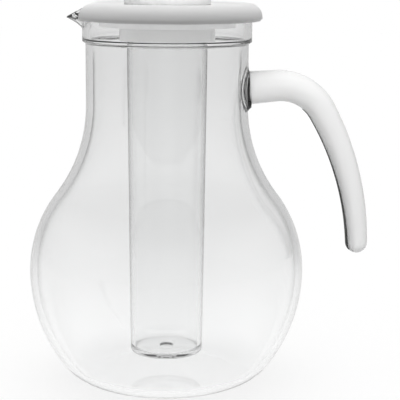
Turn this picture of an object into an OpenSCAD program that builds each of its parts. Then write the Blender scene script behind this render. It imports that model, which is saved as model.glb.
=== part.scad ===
// Clear pitcher with an ice core: a bulb-shaped jug with a collar and a pinched pouring beak,
// a white lid with a straight pouring side, a clear tube for ice screwed up into the lid,
// and an open-ended handle of white plastic moulded over a clear core.
// The origin is the centre of the flat base on the table. +Z is up, the beak points to -X
// and the handle to +X.

/* [Bulb and neck] */
// Radius of the bulb at its widest point
bulb_r = 84.7; // [81:0.1:89]
// Height of the widest point above the table
bulb_h = 69.5; // [66:0.1:72]
// Radius of the arc below the widest point
bulb_low_r = 96; // [92:0.5:102]
// Radius of the arc above the widest point
bulb_high_r = 77; // [72:0.5:80]
// Radius of the arc between the flat base and the bulb
base_edge_r = 30.5; // [24:0.5:36]
// Outer radius of the neck
neck_r = 49.4; // [47:0.1:52]
// Length of the straight neck below the collar
neck_l = 37.5; // [32:0.1:50]
// Radius of the hollow arc between the bulb and the neck
neck_blend_r = 91; // [80:1:98]
// Wall thickness of the clear body
wall = 4.2; // [3:0.1:5]

/* [Collar] */
// Height of the wider collar at the top of the neck
collar_h = 20.6; // [18:0.1:24]
// How far the collar stands proud of the neck
collar_step = 1.95; // [1.2:0.05:3]
// Height of the bevel under the collar
collar_bevel = 1.3; // [0.6:0.1:2]
// Height of the inner ledge above the collar's lower edge
ledge_up = 2; // [1.5:0.1:4]
// Rounding of the rim's two edges
rim_round = 0.8; // [0.4:0.1:1.5]

/* [Pouring beak] */
// How far the beak's tip stands out from the collar
beak_reach = 9.6; // [7:0.1:12]
// How far the beak's tip lies below the rim
beak_drop = 5.6; // [3:0.1:7]
// Height from the beak's root on the collar up to its tip
beak_root_h = 10.2; // [7:0.1:12]
// Radius of the beak's tip seen from above
beak_tip_r = 3.6; // [3:0.1:5]
// Wall thickness at the beak's tip, seen from above
beak_wall = 2.4; // [1.6:0.1:2.8]
// Height of the solid lip under the beak's channel
beak_floor = 2.8; // [2:0.1:4]
// Height of the blunt edge at the beak's tip
beak_blunt = 0.5; // [0.2:0.05:1]

/* [Handle] */
// How far below the rim the handle's centre line meets the neck
handle_drop = 47.9; // [44:0.1:52]
// Upward slope of the arm in degrees
arm_rise = 4.9; // [0:0.1:8]
// Length of the straight arm
arm_l = 16.8; // [12:0.1:24]
// Radius of the bend on the centre line
bend_r = 30.1; // [26:0.1:40]
// Angle of the bend, in degrees
bend_angle = 65.1; // [60:0.1:70]
// Radius of the long curve of the grip
grip_r = 177.3; // [140:0.1:240]
// Angle of the long curve of the grip, in degrees
grip_angle = 27.8; // [22:0.1:34]
// Thickness of the arm at the neck, where it is round
arm_t = 20.2; // [18:0.1:23]
// Thickness where the bend starts
bend_t = 19.2; // [17:0.1:22]
// Thickness where the grip starts
grip_t = 17.1; // [15:0.1:19]
// Thickness at the free end
end_t = 13.3; // [12:0.1:16]
// Width at the free end
end_w = 17.6; // [15:0.1:21]
// Wall thickness of the white cover
cover_wall = 2.2; // [1.6:0.1:3]
// Width of the clear strip where it starts under the bend
strip_start_w = 3; // [2:0.1:5]
// Width of the clear strip at the free end
strip_end_w = 8.4; // [6:0.1:10]
// How far the clear strip stands proud of the cover
strip_proud = 0.3; // [0.1:0.05:0.6]
// Height of the saddle face of the boss above the neck
boss_h = 1; // [0.6:0.1:2]
// Length of the boss along the arm, from the saddle face
boss_lip_l = 1.9; // [1:0.1:3]
// Wall of the boss lip round the cover
boss_lip_wall = 0.6; // [0.4:0.1:1.2]
// Radius of the fillet round the boss
boss_fillet_r = 4.4; // [3:0.1:6]

/* [Lid] */
// Outer radius of the lid
lid_r = 57.4; // [56:0.1:60]
// How far the lid's skirt reaches below the rim
skirt_h = 7.3; // [6.4:0.1:10]
// Thickness of the lid's top plate
lid_plate = 3; // [2.4:0.1:4]
// Wall thickness of the lid's skirt
lid_wall = 2.6; // [2:0.1:3]
// Radius of the lid's rounded outer edge
lid_edge_r = 8; // [7:0.1:9]
// Distance of the straight pouring side from the centre
pour_side = 51.6; // [50:0.1:53]
// Radius of the rounded edge of the straight side
pour_edge_r = 9; // [7:0.1:10]
// Depth of the pouring notch in the top plate, from the straight side
notch_d = 3.6; // [2.5:0.1:5]
// Width of the pouring notch
notch_w = 32; // [24:1:36]
// Outer radius of the ice guard ring under the lid
guard_r = 41.4; // [38:0.1:43]
// Wall thickness of the ice guard ring
guard_wall = 2; // [1.5:0.1:3]
// Height of the ice guard ring
guard_h = 11; // [8:0.1:14]
// Radius of the shallow recess round the knob
recess_r = 43.8; // [36:0.1:46]
// Depth of the shallow recess
recess_d = 1; // [0.5:0.1:1.4]
// Number of centring ribs in a full circle
rib_count = 12; // [8:1:18]
// Thickness of a centring rib
rib_t = 1.2; // [0.8:0.1:2]
// Height of a centring rib
rib_h = 5; // [4:0.1:6.5]

/* [Threaded socket] */
// Outer radius of the socket under the lid
socket_r = 29; // [28:0.1:32]
// Height of the socket
socket_h = 20.6; // [16:0.1:24]

/* [Knob] */
// Radius of the knob
knob_r = 26.2; // [24:0.1:30]
// Height of the knob
knob_h = 14; // [10:0.5:22]
// Radius of the knob's rounded top edge
knob_edge_r = 4; // [2:0.1:6]
// Wall thickness of the knob
knob_wall = 2.4; // [1.8:0.1:3]
// Radius of the opening in the lid that the knob's spigot fills
knob_hole_r = 20; // [16:0.1:20.5]
// Wall thickness of the knob's spigot
spigot_wall = 1.8; // [1.4:0.1:2.5]

/* [Ice tube] */
// Outer radius of the tube at its mouth
tube_r = 24.4; // [22.5:0.1:25]
// How much smaller the radius is at the closed end
tube_draft = 1.9; // [1:0.1:2.4]
// Wall thickness of the tube
tube_wall = 2.6; // [2:0.1:3]
// Thickness of the tube's floor
tube_floor = 3; // [2:0.1:4]
// Height of the tube's closed end above the table
tube_end_z = 17; // [15.5:0.1:24]
// Rounding of the tube's outer lower edge
tube_round = 1.2; // [0.6:0.1:2.4]
// Radius of the gate mark inside the floor
gate_r = 4.3; // [3:0.1:6]
// Depth of the gate mark
gate_d = 0.9; // [0.4:0.1:1.2]
// Length of the plain cylindrical stretch at the mouth
tube_mouth_l = 26; // [22:1:34]

/* [Thread] */
// Rise of the thread in one turn
thread_pitch = 4; // [3.6:0.1:4.2]
// Turns of thread on the tube
thread_turns = 1.5; // [1:0.25:1.5]
// Height of the thread's lower end above the socket's mouth
thread_up = 2.6; // [2:0.1:3]
// Height of the thread above the tube's wall
thread_d = 0.9; // [0.6:0.05:1.1]
// Width of the thread at its root
thread_root_w = 2; // [1.6:0.1:2.2]
// Width of the thread at its crest
thread_crest_w = 1; // [0.6:0.1:1.2]

/* [Seal] */
// Thickness of the seal between the tube's mouth and the lid
seal_t = 2; // [1.5:0.1:3]
// Width of the seal's ring
seal_w = 3.6; // [3:0.1:4]

/* [Fits] */
// Radial gap between parts that move past each other
run_gap = 0.3; // [0.25:0.01:0.4]
// Gap between parts that are bonded, moulded or pressed together
bond_gap = 0.1; // [0.05:0.01:0.15]

/* [Hidden] */

// How far a cut runs past what it cuts
overrun = 1;
// Largest angle of one straight step on an arc, in degrees
arc_step = 3;
// Sides of the handle's section
section_n = 24;

// Body of revolution: centres of the arcs, as [radius, height]
low_c = [bulb_r - bulb_low_r, bulb_h];
high_c = [bulb_r - bulb_high_r, bulb_h];
base_span = bulb_low_r - base_edge_r;
base_c = [low_c.x + sqrt(base_span ^ 2 - (bulb_h - base_edge_r) ^ 2), base_edge_r];
blend_span = bulb_high_r + neck_blend_r;
blend_x = neck_r + neck_blend_r;
blend_c = [blend_x, bulb_h + sqrt(blend_span ^ 2 - (blend_x - high_c.x) ^ 2)];
base_join_a = atan2(base_c.y - low_c.y, base_c.x - low_c.x);
neck_join_a = atan2(blend_c.y - high_c.y, blend_c.x - high_c.x);

// Rim and collar
rim_h = blend_c.y + neck_l + collar_h;
collar_r = neck_r + collar_step;
collar_z = rim_h - collar_h;
ledge_z = collar_z + ledge_up;
collar_in_r = collar_r - wall;
neck_in_r = neck_r - wall;

// Beak: a hull of the collar's circle and a small tip circle, wider the higher it gets
beak_sink = rim_round * 1.2;
beak_tip_z = rim_h - beak_drop;
beak_root_z = beak_tip_z - beak_root_h;
beak_rows = 14;
beak_cols = 32;
// Angle in degrees that the beak's outline reaches to on each side of its middle
beak_far_angle = 60;
beak_slope_start = collar_r - run_gap - rim_round;

// Handle: the centre line is a straight arm, a bend and a long curve
handle_z = rim_h - handle_drop;
saddle_r = neck_r + boss_h;
boss_sink = wall * 0.9;
bend_l = bend_r * bend_angle * PI / 180;
grip_l = grip_r * grip_angle * PI / 180;
handle_l = arm_l + bend_l + grip_l;
arm_start = [neck_r, handle_z];
bend_start = arm_start + arm_l * heading(arm_rise);
bend_c = bend_start - bend_r * outward(arm_rise);
grip_turn = arm_rise - bend_angle;
grip_start = bend_c + bend_r * outward(grip_turn);
grip_c = grip_start - grip_r * outward(grip_turn);
strip_from = arm_l + bend_l - bend_t / 2;
strip_depth_share = 0.2;
// Angles in degrees of the sections in the rounded free end
cap_angles = [20, 40, 58, 72, 84];

// Lid
lid_under_z = rim_h;
lid_top_z = rim_h + lid_plate;
skirt_z = rim_h - skirt_h;
lid_edge_c = [lid_r - lid_edge_r, lid_top_z - lid_edge_r];
lid_edge_in_r = lid_edge_r - lid_wall;
skirt_edge = lid_wall / 2;
recess_z = lid_top_z - recess_d;
// Angle in degrees on each side of the beak that has no centring rib
rib_clear_angle = 45;

// Ice tube, its socket and its seal
tube_top_z = lid_under_z - seal_t;
tube_in_r = tube_r - tube_wall;
tube_low_r = tube_r - tube_draft;
tube_mouth_z = tube_top_z - tube_mouth_l;
socket_z = rim_h - socket_h;
socket_bore_r = tube_r + run_gap;
thread_z = socket_z + thread_up;
thread_sink = 0.4;
// Angle in degrees between the thread's sections
thread_step = 10;
knob_base_z = recess_z;
knob_top_z = knob_base_z + knob_h;

// Points of an arc from angle a to angle b
function arc(c, r, a, b) =
  let (n = max(2, ceil(abs(b - a) / arc_step)))
  [for (i = [0 : n]) c + r * [cos(a + (b - a) * i / n), sin(a + (b - a) * i / n)]];

// Unit vectors in the handle's plane: along the centre line, and towards its outer side
function heading(a) = [cos(a), sin(a)];
function outward(a) = [-sin(a), cos(a)];

// Side of the bulb and the neck, set in by an even thickness
function side(inset) = concat(
  arc(base_c, base_edge_r - inset, -90, base_join_a),
  arc(low_c, bulb_low_r - inset, base_join_a, 0),
  arc(high_c, bulb_high_r - inset, 0, neck_join_a),
  arc(blend_c, neck_blend_r + inset, neck_join_a + 180, 180)
);

module outer_form() {
  rotate_extrude($fn = 180)
    polygon(concat(
      [[0, 0]],
      side(0),
      [[neck_r, collar_z - collar_bevel / 2], [collar_r, collar_z + collar_bevel / 2]],
      arc([collar_r - rim_round, rim_h - rim_round], rim_round, 0, 90),
      [[0, rim_h]]
    ));
}

module inner_form() {
  rotate_extrude($fn = 180)
    polygon(concat(
      [[0, wall]],
      side(wall),
      [[neck_in_r, ledge_z], [collar_in_r, ledge_z]],
      arc([collar_in_r + rim_round, rim_h - rim_round], rim_round, 180, 90),
      [[collar_in_r + rim_round, rim_h + overrun], [0, rim_h + overrun]]
    ));
}

// Distance from the axis to a beak outline, at angle a from its middle.
// The outline joins a circle of radius ring_r to a tip circle of radius tip_r that reaches out to reach_r.
function beak_edge(a, ring_r, tip_r, reach_r) =
  let (d = reach_r - tip_r)
  let (b = acos((ring_r - tip_r) / d))
  let (tip_a = atan2(tip_r * sin(b), d + tip_r * cos(b)))
  abs(a) < tip_a ? d * cos(a) + sqrt(tip_r ^ 2 - (d * sin(a)) ^ 2) :
  abs(a) < b ? ring_r / cos(abs(a) - b) : ring_r;

// One level of the beak, with its back closed inside the collar
function beak_ring(ring_r, tip_r, reach_r, back_r, z) = concat(
  [for (j = [0 : beak_cols])
    let (a = beak_far_angle * (2 * j / beak_cols - 1))
    let (r = beak_edge(a, ring_r, tip_r, reach_r))
    [-r * cos(a), -r * sin(a), z]],
  [for (side_a = [beak_far_angle, -beak_far_angle])
    [-back_r * cos(side_a), -back_r * sin(side_a), z]]
);

// A solid that swells from a ring into the beak between two heights and is straight above
module beak_form(ring_r, tip_r, reach_r, low_z, tip_z, top_z, back_r) {
  least_r = ring_r + beak_sink / 20;
  function reach(u) = max(least_r, ring_r + (reach_r - ring_r) * u ^ 2);
  rows = [for (i = [0 : beak_rows])
    let (u = i / beak_rows)
    beak_ring(ring_r, tip_r, reach(u), back_r, low_z + (tip_z - low_z) * u)];
  loft(concat(rows, [beak_ring(ring_r, tip_r, reach_r, back_r, top_z)]));
}

// The straight space that the lid leaves for the beak as it is lifted
module beak_clearance() {
  grown_r = collar_r + run_gap;
  difference() {
    loft([for (z = [skirt_z - overrun, lid_under_z])
      beak_ring(grown_r, beak_tip_r + run_gap, grown_r + beak_reach, collar_r, z)]);
    translate([0, 0, skirt_z - overrun * 2])
      cylinder(h = skirt_h + overrun * 3, r = collar_in_r, $fn = 180);
  }
}

// A closed solid through a list of rings that have the same number of points.
// Each ring runs counterclockwise, seen from the last ring.
module loft(rings) {
  n = len(rings[0]);
  m = len(rings);
  points = [for (ring = rings) for (p = ring) p];
  sides = [for (i = [0 : m - 2]) for (j = [0 : n - 1])
    let (a = i * n + j, b = i * n + (j + 1) % n)
    each [[a, b + n, b], [a, a + n, b + n]]];
  first = [[for (j = [0 : n - 1]) j]];
  last = [[for (j = [n - 1 : -1 : 0]) (m - 1) * n + j]];
  polyhedron(points, concat(first, sides, last), convexity = 8);
}

// Half the thickness and half the width of the handle at a distance along it
function half_t(s) = lookup(s, [
  [0, arm_t], [arm_l, bend_t], [arm_l + bend_l, grip_t], [handle_l, end_t]
]) / 2;
function half_w(s) = lookup(s, [[0, arm_t], [handle_l, end_w]]) / 2;

function slope(s) =
  s < arm_l ? arm_rise :
  s < arm_l + bend_l ? arm_rise - (s - arm_l) / bend_r * 180 / PI :
  grip_turn - (s - arm_l - bend_l) / grip_r * 180 / PI;

function centre(s) =
  s < arm_l ? arm_start + s * heading(arm_rise) :
  s < arm_l + bend_l ? bend_c + bend_r * outward(slope(s)) :
  grip_c + grip_r * outward(slope(s));

// Places along the handle, as [distance along it, how far past its end, share of the section left]
function stations(from, inset) = concat(
  [for (i = [0 : 3]) [from + (arm_l - from) * i / 3, 0, 1]],
  [for (i = [1 : 12]) [arm_l + bend_l * i / 12, 0, 1]],
  [for (i = [1 : 14]) [arm_l + bend_l + grip_l * i / 14, 0, 1]],
  [for (a = cap_angles) [handle_l, (half_t(handle_l) - inset) * sin(a), cos(a)]]
);

// A point of the section: u towards the outer side, v across
function section_point(st, u, v) =
  let (a = slope(st[0]))
  let (c = centre(st[0]) + st[1] * heading(a) + u * outward(a))
  [c.x, v, c.y];

function section_ring(st, inset) =
  let (t = (half_t(st[0]) - inset) * st[2], w = (half_w(st[0]) - inset) * st[2])
  [for (j = [0 : section_n - 1])
    let (a = 360 * j / section_n)
    section_point(st, t * cos(a), -w * sin(a))];

// The handle's form, set in by an even thickness
module handle_form(inset) {
  loft([for (st = stations(-saddle_r / 4, inset)) section_ring(st, inset)]);
}

// The strip along the inner side of the grip, grown by a gap at its sides and raised by proud
module strip_form(gap, proud) {
  run = [for (st = stations(0, 0)) if (st[0] >= strip_from && st[2] > cos(cap_angles[2])) st];
  function strip_half(st) =
    gap + lookup(st[0], [[strip_from, strip_start_w], [handle_l, strip_end_w]]) / 2 * st[2];
  function strip_ring(st) =
    let (t = half_t(st[0]) * st[2] + proud, w = half_w(st[0]) * st[2], half = strip_half(st))
    let (deep = -half_t(st[0]) * st[2] * strip_depth_share)
    concat(
      [section_point(st, deep, half), section_point(st, deep, -half)],
      [for (k = [-3 : 3])
        let (v = half * k / 3)
        section_point(st, -t * sqrt(1 - (v / (w + proud)) ^ 2), v)]
    );
  loft([for (st = run) strip_ring(st)]);
}

// The arm's round end on the neck, grown by a gap
module arm_root(grow, from, to) {
  translate([arm_start.x, 0, arm_start.y])
    rotate([0, 90 - arm_rise, 0])
      translate([0, 0, from])
        cylinder(h = to - from, r = arm_t / 2 + grow, $fn = 96);
}

module boss() {
  lip_r = arm_t / 2 + bond_gap + boss_lip_wall;
  fillet_c = [lip_r + boss_fillet_r, boss_fillet_r - wall / 4];
  difference() {
    translate([arm_start.x, 0, arm_start.y])
      rotate([0, 90 - arm_rise, 0])
        rotate_extrude($fn = 96)
          difference() {
            polygon([
              [0, -boss_sink], [fillet_c.x, -boss_sink], [fillet_c.x, boss_h + boss_lip_l],
              [0, boss_h + boss_lip_l]
            ]);
            translate(fillet_c)
              circle(r = boss_fillet_r, $fn = 96);
            translate([fillet_c.x, fillet_c.y])
              square([overrun, boss_fillet_r * 2]);
            translate([lip_r, fillet_c.y])
              square([boss_fillet_r * 2, boss_fillet_r * 2]);
          }
    difference() {
      arm_root(bond_gap, -wall, boss_h + boss_lip_l + overrun);
      translate([0, 0, handle_z - arm_t])
        cylinder(h = arm_t * 2, r = saddle_r, $fn = 180);
    }
  }
}

module pitcher_body() {
  color([0.93, 0.95, 0.96, 0.35])
    difference() {
      union() {
        outer_form();
        beak_form(
          collar_r - beak_sink, beak_tip_r, collar_r + beak_reach,
          beak_root_z, beak_tip_z - beak_blunt, rim_h, collar_in_r
        );
        boss();
      }
      inner_form();
      beak_form(
        collar_in_r - beak_sink, beak_tip_r - beak_wall / 2, collar_r + beak_reach - beak_wall,
        beak_root_z + beak_floor, beak_tip_z + beak_floor, rim_h + overrun, neck_in_r
      );
      beak_top_cut();
    }
}

// Cuts the beak's edge to slope down from the rim to its tip
module beak_top_cut() {
  fall_a = atan2(beak_drop, collar_r + beak_reach - beak_slope_start);
  translate([-beak_slope_start, 0, rim_h])
    rotate([0, -fall_a, 0])
      translate([-beak_reach * 2, -collar_r, 0])
        cube([beak_reach * 2, collar_r * 2, beak_reach]);
}

module handle_core() {
  color([0.93, 0.95, 0.96, 0.35])
    difference() {
      union() {
        handle_form(cover_wall + bond_gap);
        strip_form(0, strip_proud);
      }
      translate([0, 0, handle_z - arm_t])
        cylinder(h = arm_t * 2, r = saddle_r + bond_gap, $fn = 180);
    }
}

module handle_cover() {
  color([0.95, 0.95, 0.94])
    difference() {
      handle_form(0);
      handle_form(cover_wall);
      strip_form(bond_gap, strip_proud + overrun);
      translate([0, 0, handle_z - arm_t])
        cylinder(h = arm_t * 2, r = saddle_r + bond_gap, $fn = 180);
    }
}

// Helical ridge, grown by a gap on all its free sides, between two angles of turn
module thread_form(gap, from_a, to_a) {
  root_r = tube_r - thread_sink;
  crest_r = tube_r + thread_d + gap;
  function mid_z(a) = thread_z + thread_pitch * a / 360;
  function ring(a) = [
    for (p = [
      [root_r, thread_root_w / 2 + gap], [crest_r, thread_crest_w / 2 + gap],
      [crest_r, -thread_crest_w / 2 - gap], [root_r, -thread_root_w / 2 - gap]
    ])
      [p[0] * cos(a), p[0] * sin(a), mid_z(a) + p[1]]
  ];
  n = ceil((to_a - from_a) / thread_step);
  loft([for (i = [0 : n]) ring(from_a + (to_a - from_a) * i / n)]);
}

module lid_shell() {
  rotate_extrude($fn = 180)
    polygon(concat(
      [[knob_hole_r, lid_under_z]],
      arc(lid_edge_c, lid_edge_in_r, asin(min(1, (lid_under_z - lid_edge_c.y) / lid_edge_in_r)), 0),
      [[lid_r - lid_wall, skirt_z]],
      [[lid_r - skirt_edge, skirt_z], [lid_r, skirt_z + skirt_edge]],
      arc(lid_edge_c, lid_edge_r, 0, 90),
      [[recess_r + recess_d, lid_top_z], [recess_r, recess_z], [knob_hole_r, recess_z]]
    ));
}

// Straight pouring side with its rounded edge, as a long block that the lid stays inside
module pour_side_form() {
  c = [-pour_side + pour_edge_r, lid_top_z - pour_edge_r];
  rotate([90, 0, 0])
    linear_extrude(height = lid_r * 3, center = true)
      polygon(concat(
        [[-pour_side, socket_z - overrun]],
        arc(c, pour_edge_r, 180, 90),
        [[lid_r + overrun, lid_top_z], [lid_r + overrun, socket_z - overrun]]
      ));
}

module ring(r, thickness, low, high) {
  translate([0, 0, low])
    difference() {
      cylinder(h = high - low, r = r, $fn = 180);
      translate([0, 0, -overrun])
        cylinder(h = high - low + overrun * 2, r = r - thickness, $fn = 180);
    }
}

// Ribs inside the skirt that centre the lid on the collar, left out beside the beak
module centring_ribs() {
  inner = collar_r + run_gap;
  step = 360 / rib_count;
  for (i = [0 : rib_count - 1])
    if (abs(i * step + step / 2 - 180) > rib_clear_angle)
      rotate([0, 0, i * step + step / 2])
        translate([inner, -rib_t / 2, skirt_z + skirt_edge])
          cube([lid_r - lid_wall / 2 - inner, rib_t, rib_h]);
}

module lid() {
  groove_low_a = -360 * (thread_up + thread_root_w) / thread_pitch;
  groove_high_a = 360 * thread_turns + thread_step;
  color([0.96, 0.96, 0.95])
    difference() {
      intersection() {
        union() {
          lid_shell();
          centring_ribs();
          ring(guard_r, guard_wall, lid_under_z - guard_h, lid_under_z + recess_d / 2);
          ring(socket_r, socket_r - socket_bore_r, socket_z, lid_under_z + recess_d / 2);
        }
        pour_side_form();
      }
      thread_form(run_gap, groove_low_a, groove_high_a);
      beak_clearance();
      translate([-pour_side - overrun, -notch_w / 2, lid_under_z - overrun / 4])
        cube([notch_d + overrun, notch_w, lid_plate + overrun]);
    }
}

// Hollow knob: its wall stands in the lid's recess and its spigot fills the lid's opening
module lid_knob() {
  spigot_r = knob_hole_r - bond_gap;
  edge_c = [knob_r - knob_edge_r, knob_top_z - knob_edge_r];
  inner_top_z = knob_top_z - knob_wall;
  color([0.96, 0.96, 0.95])
    rotate_extrude($fn = 180)
      polygon(concat(
        [[spigot_r - spigot_wall, lid_under_z], [spigot_r, lid_under_z], [spigot_r, inner_top_z]],
        arc(edge_c, knob_edge_r - knob_wall, 90, 0),
        [[knob_r - knob_wall, knob_base_z], [knob_r, knob_base_z]],
        arc(edge_c, knob_edge_r, 0, 90),
        [[0, knob_top_z], [0, inner_top_z], [spigot_r - spigot_wall, inner_top_z]]
      ));
}

module ice_tube() {
  low_in_r = tube_low_r - tube_wall;
  color([0.9, 0.93, 0.95, 0.35])
    union() {
      rotate_extrude($fn = 180)
        polygon(concat(
          [[0, tube_end_z]],
          arc([tube_low_r - tube_round, tube_end_z + tube_round], tube_round, -90, 0),
          [[tube_r, tube_mouth_z], [tube_r, tube_top_z]],
          [[tube_in_r, tube_top_z], [tube_in_r, tube_mouth_z], [low_in_r, tube_end_z + tube_floor]],
          [[gate_r, tube_end_z + tube_floor], [gate_r - gate_d, tube_end_z + tube_floor - gate_d]],
          [[0, tube_end_z + tube_floor - gate_d]]
        ));
      thread_form(0, 0, 360 * thread_turns);
    }
}

module tube_seal() {
  color([0.85, 0.87, 0.88])
    ring(tube_r, seal_w, tube_top_z, lid_under_z);
}

pitcher_body();
handle_core();
handle_cover();
lid();
lid_knob();
ice_tube();
tube_seal();
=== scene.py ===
import math

import bmesh
import bpy
from mathutils import Matrix, Vector


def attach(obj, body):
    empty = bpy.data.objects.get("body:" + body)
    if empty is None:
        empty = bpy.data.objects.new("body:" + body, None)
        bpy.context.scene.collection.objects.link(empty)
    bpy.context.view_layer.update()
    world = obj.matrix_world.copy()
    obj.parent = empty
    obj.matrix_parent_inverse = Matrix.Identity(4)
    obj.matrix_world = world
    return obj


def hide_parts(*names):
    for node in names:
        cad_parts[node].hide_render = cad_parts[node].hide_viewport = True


# Looks of the clear pitcher with an ice core. The CAD model is the frame.
# Sizes are in millimetres, as in the CAD source, and the mesh makers turn them into metres.
# +Z is up, the beak points to -X and the handle to +X.
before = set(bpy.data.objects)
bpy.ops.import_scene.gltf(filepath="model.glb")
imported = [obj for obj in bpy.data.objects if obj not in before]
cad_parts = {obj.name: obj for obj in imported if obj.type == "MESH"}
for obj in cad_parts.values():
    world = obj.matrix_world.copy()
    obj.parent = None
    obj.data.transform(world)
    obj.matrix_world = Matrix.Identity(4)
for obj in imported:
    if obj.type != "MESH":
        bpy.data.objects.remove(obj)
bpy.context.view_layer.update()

MM = 0.001

# Bulb and neck
BULB_R = 84.7
BULB_H = 69.5
BULB_LOW_R = 96
BULB_HIGH_R = 77
BASE_EDGE_R = 30.5
NECK_R = 49.4
NECK_L = 37.5
NECK_BLEND_R = 91
WALL = 4.2

# Collar
COLLAR_H = 20.6
COLLAR_STEP = 1.95
COLLAR_BEVEL = 1.3
LEDGE_UP = 2
LEDGE_ROUND = 0.7
RIM_ROUND = 0.8
EDGE_ROUND = 0.6

# Pouring beak
BEAK_REACH = 9.6
BEAK_DROP = 5.6
BEAK_ROOT_H = 10.2
BEAK_TIP_R = 3.6
BEAK_WALL = 2.4
BEAK_FLOOR = 2.8
BEAK_BLUNT = 0.5
BEAK_SINK = 0.96
BEAK_LEAST_SHARE = 0.05
BEAK_SLOPE_START = 50.25

# Handle
HANDLE_DROP = 47.9
ARM_RISE = 4.9
ARM_L = 16.8
BEND_R = 30.1
BEND_ANGLE = 65.1
GRIP_R = 177.3
GRIP_ANGLE = 27.8
ARM_T = 20.2
BEND_T = 19.2
GRIP_T = 17.1
END_T = 13.3
END_W = 17.6
BOND_GAP = 0.1

# Clear strip in the handle's groove, and the hair-thin slit that stands for the groove before it
STRIP_START_W = 3
STRIP_END_W = 8.4
STRIP_PROUD = 0.3
STRIP_DEPTH_SHARE = 0.2
SLIT_HALF_W = 0.4
SLIT_END = 0.05

# Boss: its foot is sunk into the neck, and its middle and its hole have rings of their own
BOSS_H = 1
BOSS_LIP_L = 0.3
BOSS_LIP_WALL = 0.6
BOSS_LIP_EDGE = 0.2
BOSS_CHAMFER = 0.1
BOSS_FILLET_R = 4.4
BOSS_FILLET_SINK = 0.06
BOSS_SINK = 2.2
BOSS_MIDDLE_R = 4
BOSS_UNDER_R = 12
BOSS_FLOOR_EDGE = 3

# Lid: the ice guard under its plate starts outside this radius
GUARD_FROM_R = 35

# Ice tube
TUBE_R = 24.4
TUBE_DRAFT = 1.9
TUBE_WALL = 2.6
TUBE_FLOOR = 3
TUBE_END_Z = 17
TUBE_ROUND = 1.2
TUBE_IN_ROUND = 1.5
TUBE_IN_STEP = 0.02
GATE_R = 4.3
GATE_D = 0.9
GATE_ROUND = 0.5
TUBE_MOUTH_L = 26
LIP_ROUND = 0.35
LIP_OUT_L = 0.4
LIP_IN_L = 1
SEAL_T = 2
SOCKET_H = 20.6
THREAD_PITCH = 4
THREAD_TURNS = 1.5
THREAD_UP = 2.6
THREAD_D = 0.9
THREAD_ROOT_W = 2
THREAD_CREST_W = 1
THREAD_END_ANGLE = 15

# Mesh density: angles in degrees between points, and numbers of rows or points
ARC_STEP = 1.5
RIM_ARC_STEP = 15
FILLET_ARC_STEP = 7.5
FOOT_ARC_STEP = 11.25
BOSS_TURN_STEP = 5
TUBE_TURN_STEP = 4
NECK_ROWS = 16
COLLAR_ROWS = 24
THREAD_ROWS = 110
TUBE_IN_STEPS = 8
COVER_RING_N = 56
STRIP_TOP_N = 12
BASE_SHARES = (0.6, 0.97)

# Body: parts of the half turn from the beak, as (from, to, number of steps)
BODY_TURN_PARTS = ((0, 6, 12), (6, 42, 24), (42, 180, 60))

# Handle: where its first section is, the steps along each part, and angles round its end
ARM_FIRST = 4
ARM_STEPS = 4
BEND_STEPS = 28
STRIP_BEND_STEPS = 6
GRIP_STEPS = 36
CAP_ANGLES = (8, 16, 24, 32, 40, 40.5, 48, 56, 64, 72, 79, 85, 88.5)
STRIP_CAP_ANGLE = 40

# Meshes: edges sharper than this angle stay sharp, and points nearer than these are joined
SHARP_ANGLE = 35
WELD = 0.002
CAD_WELD = 0.001
LEAST_EDGE = 0.0005

# Camera: the photograph is 400 pixels wide, and its scale on the pitcher's axis is known
PHOTO_PX = 400
FOCAL_PX = 1280
PHOTO_SCALE = 0.62
PITCH = 10.6
ROLL = 0.45
AIM = (20.58, 0, 112.84)
SENSOR_W = 36

# Floor: half its width, how far it is below the pieces, its own shade, how bright the light makes
# it, how bright the camera sees it in all, and what it gives off to light the pieces
FLOOR_HALF = 4000
FLOOR_DROP = 0.4
FLOOR_SHADE = 0.16
FLOOR_LIT = 0.19
FLOOR_WHITE = 1.03
FLOOR_GLOW = 0.17

# What shows in and through the pieces: how bright the floor is near, at a middle distance and far
# off, and the space overhead, with the distances as powers of ten of a metre and the space overhead
# as the upward part of a direction
NEAR_SEEN = 1.1
MID_SEEN = 0.915
FAR_SEEN = 0.79
TOP_SEEN = 0.12
NEAR_POWER = -1.2
MID_POWER = -0.3
FAR_POWER = 0.5
TOP_FROM = 0.3
TOP_FULL = 0.85

# Grey screens round the object, which show there too: (place from -X at 0 to +X at 1, share of the
# brightness left), and the distances between which they begin on the floor
SCREENS = (
    (0, 1),
    (0.2, 0.8),
    (0.35, 0.93),
    (0.5, 1),
    (0.62, 0.9),
    (0.7, 0.84),
    (0.8, 0.7),
    (0.9, 0.88),
    (1, 1),
)
SCREENS_FROM_POWER = -0.6
SCREENS_FULL_POWER = -0.1

# Light: a low light from all round, more from behind, and most from above, leaning to the front by
# TOP_LEAN degrees. White pieces get more of the seen surroundings' light, through the clear ones.
# One wide lamp from the front lights the handle's cover and the knob, along FRONT_WAY.
LOW_LIGHT = 0.07
BACK_LIGHT = 0.7
TOP_LIGHT = 2.78
TOP_LEAN = 7
TOP_LIGHT_POWER = 5
THROUGH_GLASS = 2.1
FRONT_LIGHT = 1.66
FRONT_SPREAD = 60
FRONT_WAY = (-0.12, 1, 0.2)

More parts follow.
